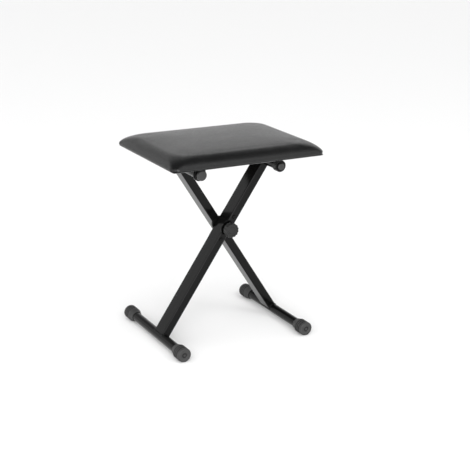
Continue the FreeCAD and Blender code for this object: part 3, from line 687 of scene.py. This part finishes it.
def knob_grip():
    front = Vector((0, knob_low.y, pivot.z))
    sides = KNOB_FLUTES * FLUTE_SIDES
    knob = turned("knob_grip", KNOB_OUTLINE, front, sides)

    def on_rim(vertex):
        radius = math.hypot(vertex.co.x, vertex.co.z - pivot.z)
        return radius > FLUTED_RADIUS and vertex.co.y < front.y + FLUTE_LENGTH

    def flute_side(vertex):
        turn = math.atan2(vertex.co.z - pivot.z, vertex.co.x) / (2 * math.pi) * sides
        return round(turn) % FLUTE_SIDES

    make_active(knob)
    for share, drawn_in in FLUTE_CUTS:
        bpy.ops.object.mode_set(mode="EDIT")
        choose(knob, lambda vertex: on_rim(vertex) and flute_side(vertex) in drawn_in)
        bpy.ops.transform.resize(value=(share, 1, share), center_override=front)
        bpy.ops.object.mode_set(mode="OBJECT")
    apply_modifier(knob, "round", "SUBSURF", levels=1, render_levels=1)
    smooth(knob, angle=50)
    finish_piece(knob, "knob", "knob_plastic", "clamp_knob")


def knob_cover():
    front = Vector((0, knob_cap_low.y, pivot.z))
    cover = turned("knob_cover", KNOB_CAP_OUTLINE, front, KNOB_CAP_SIDES)
    smooth(cover, angle=40)
    finish_piece(cover, "knob", "knob_plastic", "knob_cap")


# Weld beads where the legs meet the round bars
BEAD_PITCH = 2.6 * MM
BEAD_SIZE = Vector((2.1 * MM, 2.1 * MM, 1.3 * MM))
LEG_HALF_WIDTH = 10 * MM  # of the leg's narrow side, which meets the round bar


def bead_places(centre, along, y0, y1):
    """Points and outward directions round a rectangular tube that stands on a bar along Y."""
    side = Vector((-along.z, 0, along.x))
    reach = math.asin(LEG_HALF_WIDTH / tube_radius)
    places = []

    def add(outward, y, lean):
        places.append((centre + outward * tube_radius + Vector((0, y, 0)), lean.normalized()))

    count = round(abs(y1 - y0) / BEAD_PITCH)
    for edge in (-1, 1):
        outward = along * math.cos(reach) + side * (edge * math.sin(reach))
        for index in range(count + 1):
            add(outward, y0 + (y1 - y0) * index / count, outward + side * edge)
    arc_count = round(2 * reach * tube_radius / BEAD_PITCH)
    for y, face in ((y0, -1), (y1, 1)):
        for index in range(1, arc_count):
            turn = -reach + 2 * reach * index / arc_count
            outward = along * math.cos(turn) + side * math.sin(turn)
            add(outward, y, outward + Vector((0, face, 0)))
    return places


def weld(name, body, centre, along, y0, y1):
    clear_selection()
    beads = []
    for point, outward in bead_places(centre, along, y0, y1):
        bpy.ops.mesh.primitive_ico_sphere_add(subdivisions=2, radius=1, location=point)
        bead = bpy.context.object
        bead.scale = BEAD_SIZE
        bead.rotation_euler = outward.to_track_quat("Z", "Y").to_euler()
        beads.append(bead)
    for bead in beads:
        bead.select_set(True)
    bpy.context.view_layer.objects.active = beads[0]
    bpy.ops.object.join()
    piece = begin(name)
    bpy.ops.object.mode_set(mode="OBJECT")
    smooth(piece, angle=70)
    finish_piece(piece, body, "black_steel")


def weld_beads():
    front_y = (leg_low.y, leg_high.y)
    back_y = (-leg_high.y, -leg_low.y)
    mirrored = Vector((-1, 1, 1))
    weld("front_foot_weld", "front_leg", foot_place, leg_direction, *front_y)
    weld("front_top_weld", "front_leg", slide_place, -leg_direction, *front_y)
    weld("back_foot_weld", "back_leg", foot_place * mirrored, leg_direction * mirrored, *back_y)
    weld("back_top_weld", "back_leg", slide_place * mirrored, -leg_direction * mirrored, *back_y)


# Stage: floor, light and camera
CAMERA_PLACE = Vector((-1.1729, -2.0585, 1.0301))
CAMERA_AZIMUTH = math.radians(-30.61)
CAMERA_ELEVATION = math.radians(18.58)
CAMERA_ROLL = math.radians(1.47)
FOCAL_SHARE = 1064.0 / 470.0
SENSOR = 36.0
CLIP_END = 30
FLOOR_SIZE = 60
# (height of the direction, brightness), from straight down to straight up: dark above for the paint to mirror
WORLD_STOPS = ((0.0, 1.0), (0.42, 1.0), (0.62, 0.06), (1.0, 0.03))


def floor():
    clear_selection()
    bpy.ops.mesh.primitive_plane_add(size=FLOOR_SIZE, location=(0, 0, 0))
    ground = bpy.context.object
    ground.name = "studio_floor"
    paper = Finish("studio_paper", Specular_IOR_Level=0.1)
    paper.shade(Base_Color=grey(0.82), Roughness=0.9)
    ground.data.materials.append(paper.material)


def lamp(name, kind, energy, direction):
    light = bpy.data.lights.new(name, kind)
    light.energy = energy
    holder = bpy.data.objects.new(name, light)
    bpy.context.scene.collection.objects.link(holder)
    holder.rotation_euler = direction.to_track_quat("-Z", "Y").to_euler()
    return holder


def soft_sun(name, place, strength, angle):
    """Lights the floor evenly. It isn't mirrored in the paint."""
    sun = lamp(name, "SUN", strength, -Vector(place))
    sun.data.angle = math.radians(angle)
    sun.visible_glossy = False


def soft_panel(name, place, target, size, power):
    panel = lamp(name, "AREA", power, Vector(target) - Vector(place))
    panel.data.size = size
    panel.location = place


def studio_world():
    world = bpy.data.worlds.new("studio")
    bpy.context.scene.world = world
    world.use_nodes = True
    graph = Graph(world.node_tree)
    direction = graph.node("ShaderNodeTexCoord", output="Generated")
    height = graph.node("ShaderNodeSeparateXYZ", None, {0: direction}, output="Z")
    sky = graph.node("ShaderNodeValToRGB", {"stops": WORLD_STOPS}, {0: height}, output="Color")
    background = world.node_tree.nodes["Background"]
    graph.feed(background.inputs["Color"], sky)
    graph.feed(background.inputs["Strength"], 1.0)


def camera():
    data = bpy.data.cameras.new("camera")
    data.sensor_width = SENSOR
    data.lens = SENSOR * FOCAL_SHARE
    data.clip_end = CLIP_END
    taker = bpy.data.objects.new("camera", data)
    bpy.context.scene.collection.objects.link(taker)
    back = Vector((math.sin(CAMERA_AZIMUTH) * math.cos(CAMERA_ELEVATION),
                   -math.cos(CAMERA_AZIMUTH) * math.cos(CAMERA_ELEVATION),
                   math.sin(CAMERA_ELEVATION)))
    level = Vector((math.cos(CAMERA_AZIMUTH), math.sin(CAMERA_AZIMUTH), 0))
    rise = back.cross(level)
    right = level * math.cos(CAMERA_ROLL) + rise * math.sin(CAMERA_ROLL)
    up = rise * math.cos(CAMERA_ROLL) - level * math.sin(CAMERA_ROLL)
    turn = Matrix((right, up, back)).transposed().to_4x4()
    taker.matrix_world = Matrix.Translation(CAMERA_PLACE) @ turn
    bpy.context.scene.camera = taker


dress_nodes()
seat_cushion()
cover_fold()
foot_boots()
knob_grip()
knob_cover()
weld_beads()
floor()
studio_world()
soft_sun("overhead", place=(-0.3, -0.3, 1), strength=2.8, angle=110)
soft_panel("behind_camera", place=(-1.9, -3.4, 1.75), target=(0, 0, 0.3), size=3.0, power=130)
soft_panel("upper_front", place=(0.85, -1.55, 2.1), target=(0, 0, 0.45), size=1.2, power=8)
camera()
bpy.context.scene.view_settings.view_transform = "Standard"
